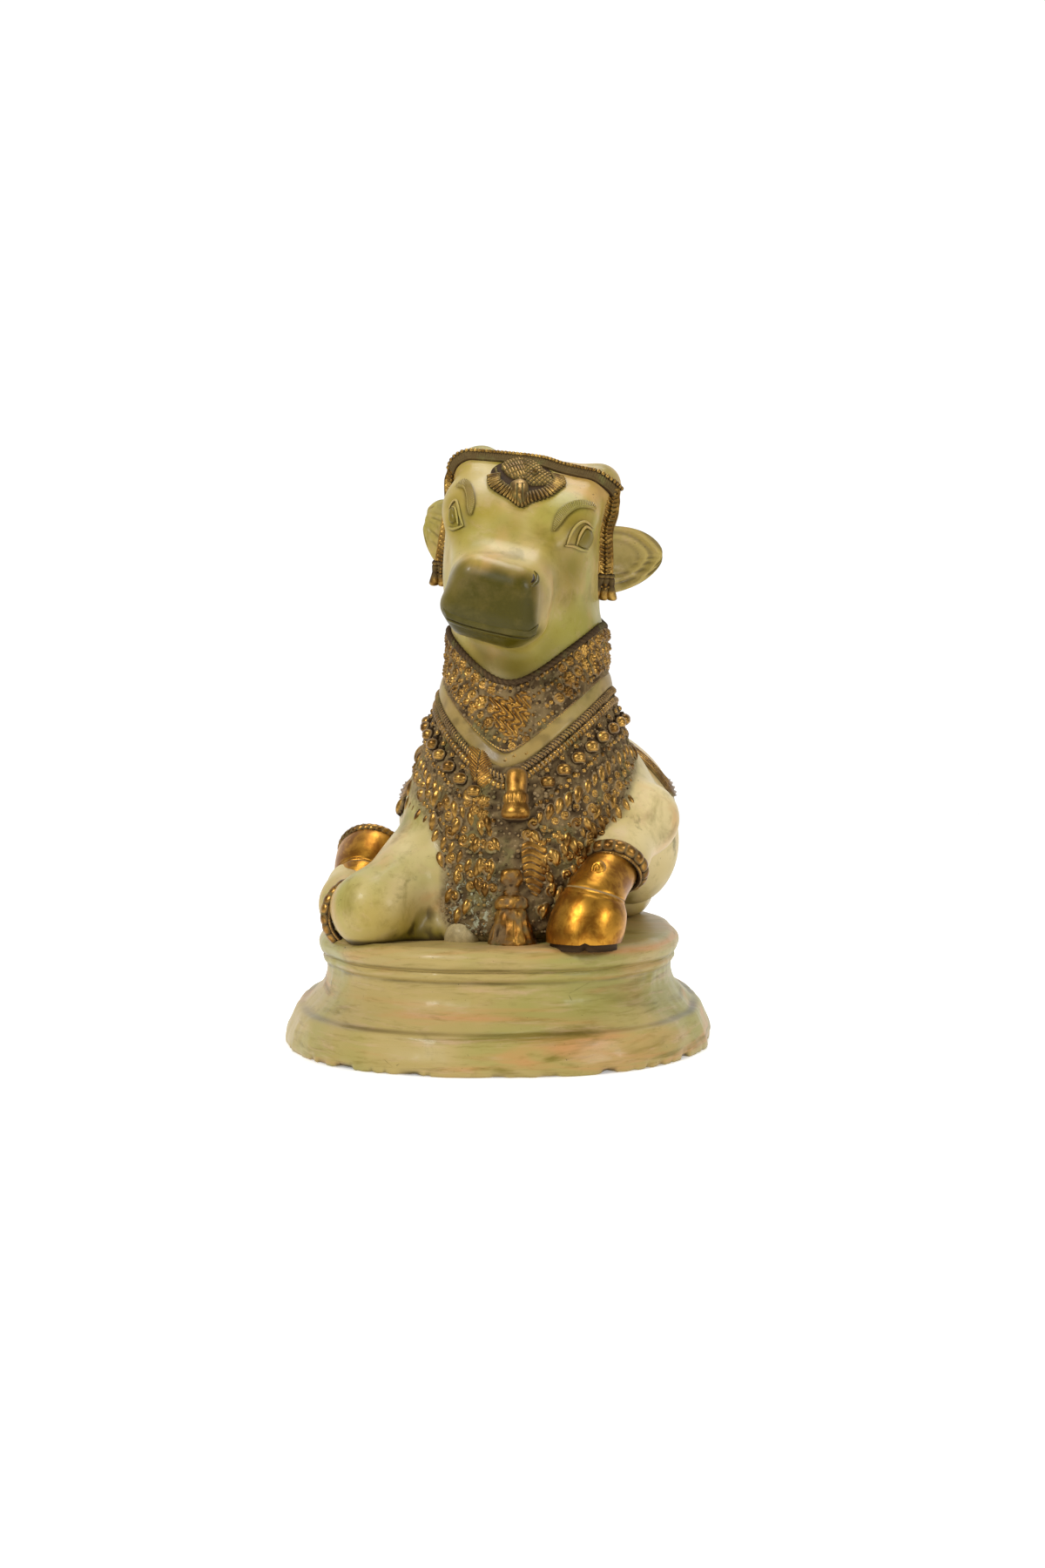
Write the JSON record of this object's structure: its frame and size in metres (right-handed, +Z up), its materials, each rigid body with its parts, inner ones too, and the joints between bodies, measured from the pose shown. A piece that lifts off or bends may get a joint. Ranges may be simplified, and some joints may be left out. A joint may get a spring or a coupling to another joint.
{
  "type": "nandi bull figure",
  "caption": "Seated bull with garlands and a headband, one foreleg raised and one folded, cast in one piece with its moulded oval plinth.",
  "frame": {"origin": "on the floor under the middle of the plinth", "axes": "+Z up, the bull faces -Y, +X to the bull's left"},
  "size_m": [0.33, 0.46, 0.4517],
  "materials": {
    "bronze": "cast bronze with a cream, green and tan patina",
    "gilt": "rubbed golden bronze on the ornaments and hooves, dark in the hollows"
  },
  "bodies": {
    "root": {"nandi_bull": "bronze"}
  },
  "joints": []
}
